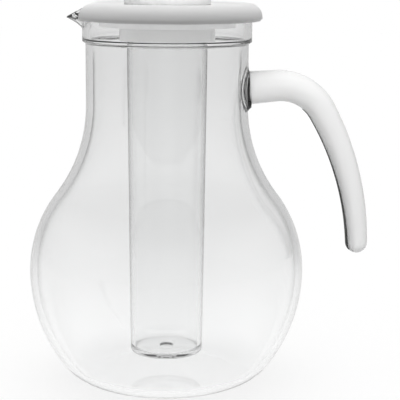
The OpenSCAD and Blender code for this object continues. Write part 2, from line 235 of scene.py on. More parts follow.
# Derived sizes of the body of revolution, with arc centres as (radius, height)
LOW_C = (BULB_R - BULB_LOW_R, BULB_H)
HIGH_C = (BULB_R - BULB_HIGH_R, BULB_H)
BASE_SPAN = BULB_LOW_R - BASE_EDGE_R
BASE_C = (LOW_C[0] + math.sqrt(BASE_SPAN**2 - (BULB_H - BASE_EDGE_R) ** 2), BASE_EDGE_R)
BLEND_SPAN = BULB_HIGH_R + NECK_BLEND_R
BLEND_X = NECK_R + NECK_BLEND_R
BLEND_C = (BLEND_X, BULB_H + math.sqrt(BLEND_SPAN**2 - (BLEND_X - HIGH_C[0]) ** 2))
BASE_JOIN = math.degrees(math.atan2(BASE_C[1] - LOW_C[1], BASE_C[0] - LOW_C[0]))
NECK_JOIN = math.degrees(math.atan2(BLEND_C[1] - HIGH_C[1], BLEND_C[0] - HIGH_C[0]))
RIM_H = BLEND_C[1] + NECK_L + COLLAR_H
COLLAR_R = NECK_R + COLLAR_STEP
COLLAR_Z = RIM_H - COLLAR_H
LEDGE_Z = COLLAR_Z + LEDGE_UP
COLLAR_IN_R = COLLAR_R - WALL
NECK_IN_R = NECK_R - WALL
BEAK_TIP_Z = RIM_H - BEAK_DROP
BEAK_ROOT_Z = BEAK_TIP_Z - BEAK_ROOT_H
SADDLE_R = NECK_R + BOSS_H
HOLE_R = ARM_T / 2 + BOND_GAP


def between(start, end, count):
    """count + 1 numbers from start to end."""
    return [start + (end - start) * i / count for i in range(count + 1)]


def arc(middle, radius, start, end, step=ARC_STEP):
    """Points of an arc between two angles in degrees."""
    count = max(2, math.ceil(abs(end - start) / step))
    turns = [math.radians(a) for a in between(start, end, count)]
    return [(middle[0] + radius * math.cos(a), middle[1] + radius * math.sin(a)) for a in turns]


def full_turn(step):
    """Angles in radians all the way round, a step in whole degrees apart."""
    return [math.radians(a) for a in range(0, 360, step)]


def lookup(x, table):
    """Straight-line interpolation in a table of (x, y)."""
    if x <= table[0][0]:
        return table[0][1]
    for (x0, y0), (x1, y1) in zip(table, table[1:]):
        if x <= x1:
            return y0 + (y1 - y0) * (x - x0) / (x1 - x0)
    return table[-1][1]


def rounded(points, radius, steps=4):
    """A line through points, with its inner corners rounded to a radius, less on a short side."""
    most_share = 0.45
    out = [points[0]]
    for before, corner, after in zip(points, points[1:], points[2:]):
        p, c, n = (Vector(q) for q in (before, corner, after))
        back, ahead = (p - c).normalized(), (n - c).normalized()
        half = back.angle(ahead) / 2
        run = min(radius / math.tan(half), (p - c).length * most_share, (n - c).length * most_share)
        middle = c + (back + ahead).normalized() * run / math.cos(half)
        start, end = c + back * run - middle, c + ahead * run - middle
        for t in between(0, 1, steps):
            spoke = (start * (1 - t) + end * t).normalized() * start.length
            out.append(tuple(middle + spoke))
    return out + [points[-1]]


def new_object(name, data):
    obj = bpy.data.objects.new(name, data)
    bpy.context.scene.collection.objects.link(obj)
    return obj


def shade(mesh):
    """Smooth shading, with the sharp edges kept."""
    mesh.shade_smooth()
    mesh.set_sharp_from_angle(angle=math.radians(SHARP_ANGLE))


def make_mesh(name, vertices, faces):
    """A smooth object from points in millimetres, with closed poles and normals outwards."""
    mesh = bpy.data.meshes.new(name)
    mesh.from_pydata([Vector(v) * MM for v in vertices], [], faces)
    work = bmesh.new()
    work.from_mesh(mesh)
    bmesh.ops.remove_doubles(work, verts=work.verts, dist=WELD * MM)
    bmesh.ops.dissolve_degenerate(work, edges=work.edges, dist=LEAST_EDGE * MM)
    bmesh.ops.recalc_face_normals(work, faces=work.faces)
    work.to_mesh(mesh)
    work.free()
    shade(mesh)
    return new_object(name, mesh)


def spin(name, section, turns):
    """An object from sections round the axis. section(turn) gives (radius, height) points from the
    outer pole to the inner one, and turn is an angle in radians from the beak's direction."""
    vertices = []
    for turn in turns:
        points = section(turn)
        vertices += [(-r * math.cos(turn), -r * math.sin(turn), z) for r, z in points]
    n, m = len(points), len(turns)
    faces = [
        (i * n + k, (i + 1) % m * n + k, (i + 1) % m * n + k + 1, i * n + k + 1)
        for i in range(m)
        for k in range(n - 1)
    ]
    return make_mesh(name, vertices, faces)


def loft(name, rings):
    """A closed object through rings of points, with flat ends."""
    n, m = len(rings[0]), len(rings)
    vertices = [p for ring in rings for p in ring]
    faces = [
        (i * n + k, i * n + (k + 1) % n, (i + 1) * n + (k + 1) % n, (i + 1) * n + k)
        for i in range(m - 1)
        for k in range(n)
    ]
    faces += [tuple(range(n)), tuple((m - 1) * n + k for k in range(n))]
    return make_mesh(name, vertices, faces)


# Clear body


def side(inset):
    """Side of the bulb up to the straight neck, set in by an even thickness."""
    return (
        arc(BASE_C, BASE_EDGE_R - inset, -90, BASE_JOIN)
        + arc(LOW_C, BULB_LOW_R - inset, BASE_JOIN, 0)[1:]
        + arc(HIGH_C, BULB_HIGH_R - inset, 0, NECK_JOIN)[1:]
        + arc(BLEND_C, NECK_BLEND_R + inset, NECK_JOIN + 180, 180)[1:]
    )


def beak_edge(turn, ring_r, tip_r, reach_r):
    """Radius of an outline that joins a ring to a small tip circle, at an angle from its middle."""
    turn = abs(math.remainder(turn, math.tau))
    d = reach_r - tip_r
    b = math.acos((ring_r - tip_r) / d)
    tip_turn = math.atan2(tip_r * math.sin(b), d + tip_r * math.cos(b))
    if turn < tip_turn:
        return d * math.cos(turn) + math.sqrt(tip_r**2 - (d * math.sin(turn)) ** 2)
    return ring_r / math.cos(turn - b) if turn < b else ring_r


def beak_r(turn, z, ring_r, tip_r, reach_r, root_z, tip_z):
    """Radius of the collar with its beak at a height."""
    up = min(1, max(0, (z - root_z) / (tip_z - root_z)))
    sunk = ring_r - BEAK_SINK
    reach = max(sunk + BEAK_SINK * BEAK_LEAST_SHARE, sunk + (reach_r - sunk) * up**2)
    return max(ring_r, beak_edge(turn, sunk, tip_r, reach))


def outer_r(turn, z):
    reach_r = COLLAR_R + BEAK_REACH
    return beak_r(turn, z, COLLAR_R, BEAK_TIP_R, reach_r, BEAK_ROOT_Z, BEAK_TIP_Z - BEAK_BLUNT)


def inner_r(turn, z):
    tip_r = BEAK_TIP_R - BEAK_WALL / 2
    reach_r = COLLAR_R + BEAK_REACH - BEAK_WALL
    root_z, tip_z = BEAK_ROOT_Z + BEAK_FLOOR, BEAK_TIP_Z + BEAK_FLOOR
    return beak_r(turn, z, COLLAR_IN_R, tip_r, reach_r, root_z, tip_z)


def top_z(turn, r):
    """Height of the rim, which slopes down along the beak."""
    out = r * math.cos(turn) - BEAK_SLOPE_START
    return RIM_H - BEAK_DROP * max(0, out) / (COLLAR_R + BEAK_REACH - BEAK_SLOPE_START)


def body_section(turn):
    base = [(BASE_C[0] * share, 0) for share in BASE_SHARES]
    bevel_low_z, bevel_high_z = COLLAR_Z - COLLAR_BEVEL / 2, COLLAR_Z + COLLAR_BEVEL / 2
    neck = [(NECK_R, z) for z in between(BLEND_C[1], bevel_low_z - EDGE_ROUND, NECK_ROWS)][1:]
    bevel = [
        neck[-1],
        (NECK_R, bevel_low_z),
        (COLLAR_R, bevel_high_z),
        (COLLAR_R, bevel_high_z + EDGE_ROUND * 2),
    ]
    step = rounded(bevel, EDGE_ROUND)[1:]
    out_r, in_r = outer_r(turn, RIM_H), inner_r(turn, RIM_H)
    collar_top_z = top_z(turn, out_r) - RIM_ROUND
    collar = [(outer_r(turn, z), z) for z in between(step[-1][1], collar_top_z, COLLAR_ROWS)[1:]]
    rim = [
        (r, top_z(turn, r) + z)
        for r, z in arc((out_r - RIM_ROUND, -RIM_ROUND), RIM_ROUND, 0, 90, RIM_ARC_STEP)[1:]
        + arc((in_r + RIM_ROUND, -RIM_ROUND), RIM_ROUND, 90, 180, RIM_ARC_STEP)
    ]
    inside_top_z, inside_low_z = top_z(turn, in_r) - RIM_ROUND, LEDGE_Z + 2 * LEDGE_ROUND
    inside = [(inner_r(turn, z), z) for z in between(inside_top_z, inside_low_z, COLLAR_ROWS)[1:]]
    ledge_line = [
        inside[-1],
        (COLLAR_IN_R, LEDGE_Z),
        (NECK_IN_R, LEDGE_Z),
        (NECK_IN_R, LEDGE_Z - 3 * LEDGE_ROUND),
    ]
    ledge = rounded(ledge_line, LEDGE_ROUND)[1:]
    inner = side(WALL)[::-1]
    floor = [(r, WALL) for r, _ in base[::-1]]
    outer = [(0, 0)] + base + side(0) + neck + step + collar
    return outer + rim + inside + ledge + inner + floor + [(0, WALL)]


def body_turns():
    """Angles round the axis, close together at the beak."""
    half = [0]
    for start, end, count in BODY_TURN_PARTS:
        half += between(start, end, count)[1:]
    whole = half + [-a for a in reversed(half[1:-1])]
    return [math.radians(a) for a in whole]


# Handle: its centre line is a straight arm, a bend and a long curve in the XZ plane

HANDLE_Z = RIM_H - HANDLE_DROP
BEND_L = BEND_R * math.radians(BEND_ANGLE)
GRIP_L = GRIP_R * math.radians(GRIP_ANGLE)
GRIP_FROM = ARM_L + BEND_L
HANDLE_L = GRIP_FROM + GRIP_L
STRIP_FROM = GRIP_FROM - BEND_T / 2


def heading(angle):
    return Vector((math.cos(math.radians(angle)), math.sin(math.radians(angle))))


def outward(angle):
    return Vector((-math.sin(math.radians(angle)), math.cos(math.radians(angle))))


ARM_START = Vector((NECK_R, HANDLE_Z))
BEND_START = ARM_START + ARM_L * heading(ARM_RISE)
BEND_C = BEND_START - BEND_R * outward(ARM_RISE)
GRIP_TURN = ARM_RISE - BEND_ANGLE
GRIP_START = BEND_C + BEND_R * outward(GRIP_TURN)
GRIP_C = GRIP_START - GRIP_R * outward(GRIP_TURN)


def slope(s):
    """Angle of the centre line at a distance along it."""
    if s < ARM_L:
        return ARM_RISE
    if s < GRIP_FROM:
        return ARM_RISE - math.degrees((s - ARM_L) / BEND_R)
    return GRIP_TURN - math.degrees((s - GRIP_FROM) / GRIP_R)


def centre(s):
    """Place on the centre line at a distance along it."""
    if s < ARM_L:
        return ARM_START + s * heading(ARM_RISE)
    if s < GRIP_FROM:
        return BEND_C + BEND_R * outward(slope(s))
    return GRIP_C + GRIP_R * outward(slope(s))


def half_t(s):
    table = [(0, ARM_T), (ARM_L, BEND_T), (GRIP_FROM, GRIP_T), (HANDLE_L, END_T)]
    return lookup(s, table) / 2


def half_w(s):
    return lookup(s, [(0, ARM_T), (HANDLE_L, END_W)]) / 2


def strip_half(s):
    return lookup(s, [(STRIP_FROM, STRIP_START_W), (HANDLE_L, STRIP_END_W)]) / 2


def section_point(s, past, u, v):
    """A point of the handle's section: u towards the outer side, v across."""
    p = centre(s) + past * heading(slope(s)) + u * outward(slope(s))
    return (p.x, v, p.y)


def saddle_point(u, v, radius):
    """A point of the arm's section, moved along the arm to a radius round the pitcher's axis."""
    rise = math.radians(ARM_RISE)
    s = (math.sqrt(radius**2 - v**2) - NECK_R + u * math.sin(rise)) / math.cos(rise)
    p = ARM_START + s * heading(ARM_RISE) + u * outward(ARM_RISE)
    return (p.x, v, p.y)


def stations():
    """Places along the handle: (distance, distance past the end, share of the section, open).
    The groove for the clear strip is open from its start to the rounded end."""
    shut_end = STRIP_FROM - SLIT_END
    early = between(ARM_FIRST, ARM_L, ARM_STEPS) + between(ARM_L, GRIP_FROM, BEND_STEPS)[1:]
    shut = [(s, 0, 1, False) for s in early if s < shut_end] + [(shut_end, 0, 1, False)]
    late = between(STRIP_FROM, GRIP_FROM, STRIP_BEND_STEPS)
    grip = between(GRIP_FROM, HANDLE_L, GRIP_STEPS)[1:]
    free = [(s, 0, 1, True) for s in late + grip]
    cap = []
    for a in CAP_ANGLES:
        past = half_t(HANDLE_L) * math.sin(math.radians(a))
        cap.append((HANDLE_L, past, math.cos(math.radians(a)), a <= STRIP_CAP_ANGLE))
    return shut + free + cap


def groove_turns(half, w):
    """Angles round a section half as wide as w, from one edge of its groove to the other."""
    edge = math.asin(half / w)
    return between(edge, math.tau - edge, COVER_RING_N)


def cover_ring(s, past, share, is_open):
    t, w = half_t(s) * share, half_w(s) * share
    half = (strip_half(s) + BOND_GAP) * share if is_open else SLIT_HALF_W * share
    ring = [
        section_point(s, past, -t * math.cos(a), w * math.sin(a)) for a in groove_turns(half, w)
    ]
    deep = -t * STRIP_DEPTH_SHARE if is_open else -t
    return ring + [section_point(s, past, deep, -half), section_point(s, past, deep, half)]


def make_cover():
    """The white cover, with a groove for the clear strip along the inner side of the grip."""
    r, radius = ARM_T / 2, SADDLE_R + BOND_GAP
    turns = groove_turns(SLIT_HALF_W, r)
    start = [saddle_point(-r * math.cos(a), r * math.sin(a), radius) for a in turns]
    start += [saddle_point(-r, v, radius) for v in (-SLIT_HALF_W, SLIT_HALF_W)]
    return loft("handle_cover_white", [start] + [cover_ring(*place) for place in stations()])


def make_strip():
    """The clear strip along the inner side of the grip."""
    rings = []
    for s, past, share, is_open in stations():
        if not is_open:
            continue
        t, w = half_t(s) * share + STRIP_PROUD, half_w(s) * share + STRIP_PROUD
        half = strip_half(s) * share
        deep = -half_t(s) * share * STRIP_DEPTH_SHARE - BOND_GAP
        ring = [section_point(s, past, deep, half), section_point(s, past, deep, -half)]
        for v in between(-half, half, STRIP_TOP_N):
            bulge = math.sqrt(1 - (v / w) ** 2)
            ring.append(section_point(s, past, -t * bulge, v))
        rings.append(ring)
    return loft("handle_strip_clear", rings)


def boss_point(r, turn, h, follow):
    """A point round the arm's axis. follow is how much it follows the neck as it curves away."""
    rise = math.radians(ARM_RISE)
    u, v = r * math.cos(turn), r * math.sin(turn)
    fall = math.sqrt(NECK_R**2 - v**2) - NECK_R
    s = h + follow * (fall + u * math.sin(rise)) / math.cos(rise)
    p = ARM_START + s * heading(ARM_RISE) + u * outward(ARM_RISE)
    return (p.x, v, p.y)


def make_boss():
    """Solid boss on the neck, with a fillet round its foot and a thin lip round the cover."""
    turns = full_turn(BOSS_TURN_STEP)
    lip_r = HOLE_R + BOSS_LIP_WALL
    lip_top = BOSS_H + BOSS_LIP_L
    foot_top = lip_top - BOSS_LIP_EDGE
    fillet_c = (lip_r + BOSS_FILLET_R, BOSS_FILLET_R - BOSS_FILLET_SINK)
    fillet = arc(fillet_c, BOSS_FILLET_R, -90, -180, FILLET_ARC_STEP)
    foot = [(r, min(h, foot_top)) for r, h in fillet]

    def round_ring(r, h, follow):
        return [boss_point(r, a, h, follow) for a in turns]

    rings = [round_ring(r, -BOSS_SINK, 1) for r in (BOSS_MIDDLE_R, BOSS_UNDER_R, foot[0][0])]
    rings += [round_ring(r, h, max(0, 1 - h / foot_top)) for r, h in foot]
    rings += [round_ring(r, lip_top, 0) for r in (lip_r - BOSS_CHAMFER, HOLE_R + BOSS_CHAMFER)]
    rings.append(round_ring(HOLE_R, lip_top - BOSS_CHAMFER, 0))
    for r in (HOLE_R, HOLE_R - BOSS_FLOOR_EDGE, BOSS_MIDDLE_R):
        rings.append([saddle_point(r * math.cos(a), r * math.sin(a), SADDLE_R) for a in turns])
    return loft("boss", rings)


def joined(obj, other):
    """obj with other merged into it by an exact union."""
    union = obj.modifiers.new("union", "BOOLEAN")
    union.operation = "UNION"
    union.solver = "EXACT"
    union.object = other
    graph = bpy.context.evaluated_depsgraph_get()
    obj_mesh = bpy.data.meshes.new_from_object(obj.evaluated_get(graph))
    obj.modifiers.clear()
    obj.data = obj_mesh
    bpy.data.objects.remove(other)
    shade(obj_mesh)
    return obj


def smooth_copy(node, name):
    """A copy of a CAD node's shape that is shaded smooth, with its flat faces kept flat."""
    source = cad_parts[node]
    obj = new_object(name, source.data.copy())
    work = bmesh.new()
    work.from_mesh(obj.data)
    bmesh.ops.remove_doubles(work, verts=work.verts, dist=CAD_WELD * MM)
    work.to_mesh(obj.data)
    work.free()
    shade(obj.data)
    even = obj.modifiers.new("even", "WEIGHTED_NORMAL")
    even.keep_sharp = True
    even.weight = 100
    return obj


# Ice tube


def thread_h(azimuth, z):
    """How far the thread stands out of the tube at an azimuth in degrees and a height."""
    start_z = RIM_H - SOCKET_H + THREAD_UP
    whole = THREAD_TURNS * 360
    best = 0
    for turn in range(math.ceil(THREAD_TURNS)):
        along = azimuth % 360 + 360 * turn
        begin = min(1, max(0, along / THREAD_END_ANGLE))
        end = min(1, max(0, (whole - along) / THREAD_END_ANGLE))
        off = abs(z - start_z - THREAD_PITCH * along / 360)
        ridge = (THREAD_ROOT_W / 2 - off) / ((THREAD_ROOT_W - THREAD_CREST_W) / 2)
        best = max(best, THREAD_D * begin * end * min(1, max(0, ridge)))
    return best


def tube_section(turn):
    azimuth = math.degrees(turn) + 180
    top = RIM_H - SEAL_T
    mouth_z = top - TUBE_MOUTH_L
    low_r, in_r = TUBE_R - TUBE_DRAFT, TUBE_R - TUBE_WALL
    floor_z = TUBE_END_Z + TUBE_FLOOR
    under = [(0, TUBE_END_Z), (low_r * BASE_SHARES[0], TUBE_END_Z)]
    foot = arc((low_r - TUBE_ROUND, TUBE_END_Z + TUBE_ROUND), TUBE_ROUND, -90, 0, FOOT_ARC_STEP)
    rows = between(mouth_z, top - LIP_OUT_L, THREAD_ROWS)
    outside = [(TUBE_R + thread_h(azimuth, z), z) for z in rows]
    lip_line = [outside[-1], (TUBE_R, top), (in_r, top), (in_r, top - LIP_IN_L)]
    lip = rounded(lip_line, LIP_ROUND)[1:]
    wall = [(in_r, mouth_z + LIP_IN_L), (in_r - TUBE_IN_STEP, mouth_z)]
    corner_line = [wall[-1], (low_r - TUBE_WALL, floor_z), (GATE_R * 2, floor_z)]
    corner = rounded(corner_line, TUBE_IN_ROUND, TUBE_IN_STEPS)
    gate = [(GATE_R, floor_z), (GATE_R - GATE_D, floor_z - GATE_D), (0, floor_z - GATE_D)]
    inside = wall + corner[1:-1] + rounded([corner[-1]] + gate, GATE_ROUND)
    return under + foot + outside + lip + inside


def make_tube():
    return spin("ice_tube_clear", tube_section, full_turn(TUBE_TURN_STEP))


# Materials


def new_material(name):
    material = bpy.data.materials.new(name)
    material.use_nodes = True
    tree = material.node_tree
    tree.nodes.clear()
    return material, tree


def add(tree, kind, **settings):
    """A node with its settings."""
    made = tree.nodes.new(kind)
    for key, value in settings.items():
        setattr(made, key, value)
    return made


def feed(tree, value, socket):
    """Sets a socket to a value or links an output to it."""
    if isinstance(value, bpy.types.NodeSocket):
        tree.links.new(value, socket)
    else:
        socket.default_value = value


def math_node(tree, operation, first, second):
    node = add(tree, "ShaderNodeMath", operation=operation)
    feed(tree, first, node.inputs[0])
    feed(tree, second, node.inputs[1])
    return node.outputs["Value"]


def blend(tree, share, first, second, kind="FLOAT"):
    """first where share is 0, second where it is 1."""
    mix = add(tree, "ShaderNodeMix", data_type=kind)
    for key, value in (("Factor", share), ("A", first), ("B", second)):
        feed(tree, value, mix.inputs[key])
    return mix.outputs["Result"]


def span(tree, value, low, high, first, last, kind="SMOOTHSTEP"):
    """value from low to high, spread between first and last."""
    spread = add(tree, "ShaderNodeMapRange", interpolation_type=kind)
    for key, number in (("From Min", low), ("From Max", high), ("To Min", first), ("To Max", last)):
        spread.inputs[key].default_value = number
    tree.links.new(value, spread.inputs["Value"])
    return spread.outputs["Result"]


def ramp(tree, value, low, high, points):
    """A number by (place, number) points, where value runs from low to high, place from 0 to 1."""
    colours = add(tree, "ShaderNodeValToRGB")
    stops = colours.color_ramp.elements
    for _ in points[2:]:
        stops.new(0.5)
    for stop, (place, number) in zip(stops, points):
        stop.position = place
        stop.color = (number, number, number, 1)
    tree.links.new(span(tree, value, low, high, 0, 1, "LINEAR"), colours.inputs["Fac"])
    return colours.outputs["Color"]


def coordinate(tree, kind, axis):
    """One coordinate of a place or direction."""
    place = add(tree, "ShaderNodeTexCoord")
    parts = add(tree, "ShaderNodeSeparateXYZ")
    tree.links.new(place.outputs[kind], parts.inputs["Vector"])
    return parts.outputs[axis]


def noise(tree, scale, detail, stretch=(1, 1, 1)):
    """A noise in the object's own coordinates, in features per metre."""
    place = add(tree, "ShaderNodeTexCoord")
    mapping = add(tree, "ShaderNodeMapping")
    mapping.inputs["Scale"].default_value = stretch
    texture = add(tree, "ShaderNodeTexNoise")
    texture.inputs["Scale"].default_value = scale
    texture.inputs["Detail"].default_value = detail
    tree.links.new(place.outputs["Object"], mapping.inputs["Vector"])
    tree.links.new(mapping.outputs["Vector"], texture.inputs["Vector"])
    return texture.outputs["Fac"]


def ranged(tree, value, low, high):
    """A noise value, which lies mostly from 0.3 to 0.7, spread between two values."""
    return span(tree, value, 0.3, 0.7, low, high, "LINEAR")


def tinted(tree, value, first, second):
    """A colour between two colours, by a noise value."""
    return blend(tree, value, (*first, 1), (*second, 1), "RGBA")


def bump(tree, value, distance):
    lift = add(tree, "ShaderNodeBump")
    lift.inputs["Strength"].default_value = 1
    lift.inputs["Distance"].default_value = distance
    tree.links.new(value, lift.inputs["Height"])
    return lift.outputs["Normal"]


def output(tree, shader):
    end = add(tree, "ShaderNodeOutputMaterial")
    tree.links.new(shader, end.inputs["Surface"])


def grey(value):
    return (value, value, value)


def warm(value):
    """A white with a trace of yellow."""
    return (value, value, value - WARMTH)


def white_plastic(name, value, least, roughness, glow, glow_depth):
    """Moulded white plastic: a faint mottle between two values, an uneven polish, a fine grain, and
    light that spreads inside it, as much as glow and as deep as glow_depth."""
    material, tree = new_material(name)
    shader = add(tree, "ShaderNodeBsdfPrincipled")
    mottle = tinted(tree, noise(tree, *WHITE_MOTTLE), warm(value), warm(least))
    polish = ranged(tree, noise(tree, *WHITE_WEAR), *roughness)
    grain = bump(tree, noise(tree, *WHITE_GRAIN), GRAIN_DEPTH)
    tree.links.new(mottle, shader.inputs["Base Color"])
    tree.links.new(polish, shader.inputs["Roughness"])
    tree.links.new(grain, shader.inputs["Normal"])
    shader.inputs["IOR"].default_value = WHITE_IOR
    shader.inputs["Subsurface Weight"].default_value = glow
    shader.inputs["Subsurface Radius"].default_value = (1, 1, 1)
    shader.inputs["Subsurface Scale"].default_value = glow_depth
    output(tree, shader.outputs["BSDF"])
    return material


def clear_plastic(name, tints, edges, edge_from, edge_to, ior, roughness, flow_depth):
    """Clear moulded plastic with a faint flow in its surface, and painted shade where it is seen
    edge on, which stands in for the dark surroundings that refraction shows at its edges. The edges
    are (share of the rim's height, brightness) points of that painted shade, so it is darker at
    some heights than at others. The painted dark begins where the facing is edge_from and is full
    at edge_to. The plastic lets lamps light what is behind it."""
    material, tree = new_material(name)
    shader = add(tree, "ShaderNodeBsdfGlass")
    tint = tinted(tree, noise(tree, *CLEAR_MOTTLE), *tints)
    # Painted shade at the edges seen edge on, its brightness set by height
    facing = add(tree, "ShaderNodeLayerWeight")
    share = span(tree, facing.outputs["Facing"], edge_from, edge_to, 0, 1)
    edge = ramp(tree, coordinate(tree, "Object", "Z"), 0, RIM_H * MM, edges)
    polish = ranged(tree, noise(tree, *CLEAR_WEAR), *roughness)
    flow = bump(tree, noise(tree, *CLEAR_FLOW), flow_depth)
    tree.links.new(blend(tree, share, tint, edge, "RGBA"), shader.inputs["Color"])
    tree.links.new(polish, shader.inputs["Roughness"])
    tree.links.new(flow, shader.inputs["Normal"])
    shader.inputs["IOR"].default_value = ior
    through = add(tree, "ShaderNodeBsdfTransparent")
    through.inputs["Color"].default_value = (*grey(LAMP_SHARE), 1)
    path = add(tree, "ShaderNodeLightPath")
    mix = add(tree, "ShaderNodeMixShader")
    tree.links.new(path.outputs["Is Shadow Ray"], mix.inputs["Fac"])
    tree.links.new(shader.outputs["BSDF"], mix.inputs[1])
    tree.links.new(through.outputs["BSDF"], mix.inputs[2])
    output(tree, mix.outputs["Shader"])
    return material


def rubber(name, colour, dark):
    material, tree = new_material(name)
    shader = add(tree, "ShaderNodeBsdfPrincipled")
    mottle = tinted(tree, noise(tree, *SEAL_MOTTLE), colour, dark)
    polish = ranged(tree, noise(tree, *SEAL_WEAR), *SEAL_POLISH)
    tree.links.new(mottle, shader.inputs["Base Color"])
    tree.links.new(polish, shader.inputs["Roughness"])
    output(tree, shader.outputs["BSDF"])
    return material


# Which faces get which material: slack in millimetres round the hole and its floor, and how far a
# face looks sideways, inwards or up, as a share of its normal
HOLE_SLACK = 0.05
FLOOR_SLACK = 0.3
SIDEWAYS = 0.7
INWARDS = 0.02
UPWARDS = 0.3


def dress(obj, *materials):
    obj.data.materials.clear()
    for material in materials:
        obj.data.materials.append(material)


def mark_hole(obj):
    """Gives the floor of the boss's hole the third material, a near-black painted shadow of the gap
    where the handle's core sits, and the boss's foot the fourth, a painted grey shade for the dark
    that refraction shows round the boss.
    """
    for face in obj.data.polygons:
        x, y, z = face.center / MM
        along = Vector((x, z)) - ARM_START
        off = math.hypot(along.dot(outward(ARM_RISE)), y)
        up = along.dot(heading(ARM_RISE))
        on_floor = off < HOLE_R + HOLE_SLACK and up > -FLOOR_SLACK
        face.material_index = (2 if on_floor else 3) if up < BOSS_H + FLOOR_SLACK else 0


def mark_sides(obj):
    """Gives the faces that look sideways the second material, a painted dark shade for the dark
    line that refraction shows along the strip's sides.
    """
    for face in obj.data.polygons:
        face.material_index = 1 if abs(face.normal.y) > SIDEWAYS else 0


def mark_lid(obj, guard_from_r, collar_r, plate_z):
    """Gives the guard under a lid's plate the second material, a lighter painted-light copy of the
    lid's white, and the socket in it the third, a darker painted-shade copy.
    """
    for face in obj.data.polygons:
        x, y, z = face.center / MM
        r = math.hypot(x, y)
        under = r < collar_r and z < plate_z
        face.material_index = (1 if r > guard_from_r else 2) if under else 0


def mark_inside(obj, floor_z):
    """Gives the faces that look at the axis, and the floor inside, the second material."""
    for face in obj.data.polygons:
        x, y, z = face.center
        inwards = x * face.normal.x + y * face.normal.y < -INWARDS * math.hypot(x, y)
        on_floor = face.normal.z > UPWARDS and z < floor_z * MM
        face.material_index = 1 if inwards or on_floor else 0


# Noises: (features per metre, detail), and the flow's stretch along X, Y and Z
WHITE_MOTTLE = (35, 4)
WHITE_WEAR = (140, 3)
WHITE_GRAIN = (900, 2)
CLEAR_MOTTLE = (18, 2)
CLEAR_WEAR = (90, 2)
CLEAR_FLOW = (22, 2, (1, 1, 0.35))
SEAL_MOTTLE = (200, 2)
SEAL_WEAR = (300, 2)

# Depths of the surfaces' relief in metres, refraction, how much less blue a warm white has, and how
# much of a lamp's light a clear wall lets through
GRAIN_DEPTH = 0.000003
DEEP_FLOW = 0.00002
FINE_FLOW = 0.00001
WHITE_IOR = 1.5
BODY_IOR = 1.52
TUBE_IOR = 1.48
STRIP_IOR = 1.5
WARMTH = 0.002
LAMP_SHARE = 0.985

# Tints of the clear pieces, and edges: (share of the rim's height, brightness) points of the
# painted shade where a piece is seen edge on, standing in for the dark surroundings that refraction
# shows there
BODY_TINTS = ((0.988, 0.989, 0.989), (0.991, 0.992, 0.992))
TUBE_TINTS = ((0.986, 0.987, 0.987), (0.99, 0.991, 0.991))
STRIP_TINTS = (grey(0.9), grey(0.87))
# Painted dark shade for the clear strip's sides
STRIP_SIDE_PAINTED_SHADE_TINTS = (grey(0.42), grey(0.38))
BODY_PAINTED_EDGE_SHADE = ((0, 0.96), (0.25, 0.93), (0.4, 0.98), (0.62, 0.98), (0.7, 0.86))
BODY_IN_PAINTED_EDGE_SHADE = (
    (0, 0.97),
    (0.13, 0.95),
    (0.25, 0.8),
    (0.5, 0.78),
    (0.58, 0.5),
    (0.7, 0.1),
    (0.86, 0.1),
    (0.89, 0.95),
)
TUBE_PAINTED_EDGE_SHADE = ((0.08, 0.8), (0.9, 0.5))
TUBE_IN_PAINTED_EDGE_SHADE = ((0.08, 0.92), (0.9, 0.7))
# Painted near-black shadow on the boss's hole floor, and painted grey shade on the boss's foot
BOSS_PAINTED_SHADOW = ((0, 0.03), (1, 0.03))
FOOT_PAINTED_SHADE = ((0, 0.34), (1, 0.34))
STRIP_PAINTED_EDGE_SHADE = ((0, 0.3), (1, 0.3))
# Painted dark shade at the clear strip's sides
STRIP_SIDE_PAINTED_SHADE_EDGES = ((0, 0.2), (1, 0.2))

# Roughness of the surfaces, from and to
BODY_POLISH = (0, 0.012)
TUBE_POLISH = (0, 0.015)
HANDLE_POLISH = (0.18, 0.21)
LID_POLISH = (0.31, 0.34)
SEAL_POLISH = (0.45, 0.6)


def body_plastic(name, edges, edge_from, edge_to, flow):
    return clear_plastic(name, BODY_TINTS, edges, edge_from, edge_to, BODY_IOR, BODY_POLISH, flow)


def tube_plastic(name, edges, edge_from, edge_to):
    flow = DEEP_FLOW
    return clear_plastic(name, TUBE_TINTS, edges, edge_from, edge_to, TUBE_IOR, TUBE_POLISH, flow)


def strip_plastic(name, tints, edges, edge_from, edge_to):
    flow = FINE_FLOW
    return clear_plastic(name, tints, edges, edge_from, edge_to, STRIP_IOR, TUBE_POLISH, flow)


# Their edge points give the clear pieces painted shade where they are seen edge on; the body's
# inside is painted near black along the neck
CLEAR_BODY = body_plastic("clear_body", BODY_PAINTED_EDGE_SHADE, 0.6, 0.95, DEEP_FLOW)
CLEAR_BODY_IN = body_plastic("clear_body_inside", BODY_IN_PAINTED_EDGE_SHADE, 0.7, 0.93, DEEP_FLOW)
# Painted shadow on the boss's hole floor and painted shade on its foot
CLEAR_BOSS_PAINTED_SHADOW = body_plastic("clear_boss_painted_shadow", BOSS_PAINTED_SHADOW, 0.1, 0.3, FINE_FLOW)
CLEAR_FOOT_PAINTED_SHADE = body_plastic("clear_foot_painted_shade", FOOT_PAINTED_SHADE, 0.1, 0.5, FINE_FLOW)
CLEAR_TUBE = tube_plastic("clear_tube", TUBE_PAINTED_EDGE_SHADE, 0.5, 0.9)
CLEAR_TUBE_IN = tube_plastic("clear_tube_inside", TUBE_IN_PAINTED_EDGE_SHADE, 0.75, 0.97)
CLEAR_STRIP = strip_plastic("clear_strip", STRIP_TINTS, STRIP_PAINTED_EDGE_SHADE, 0.4, 0.7)
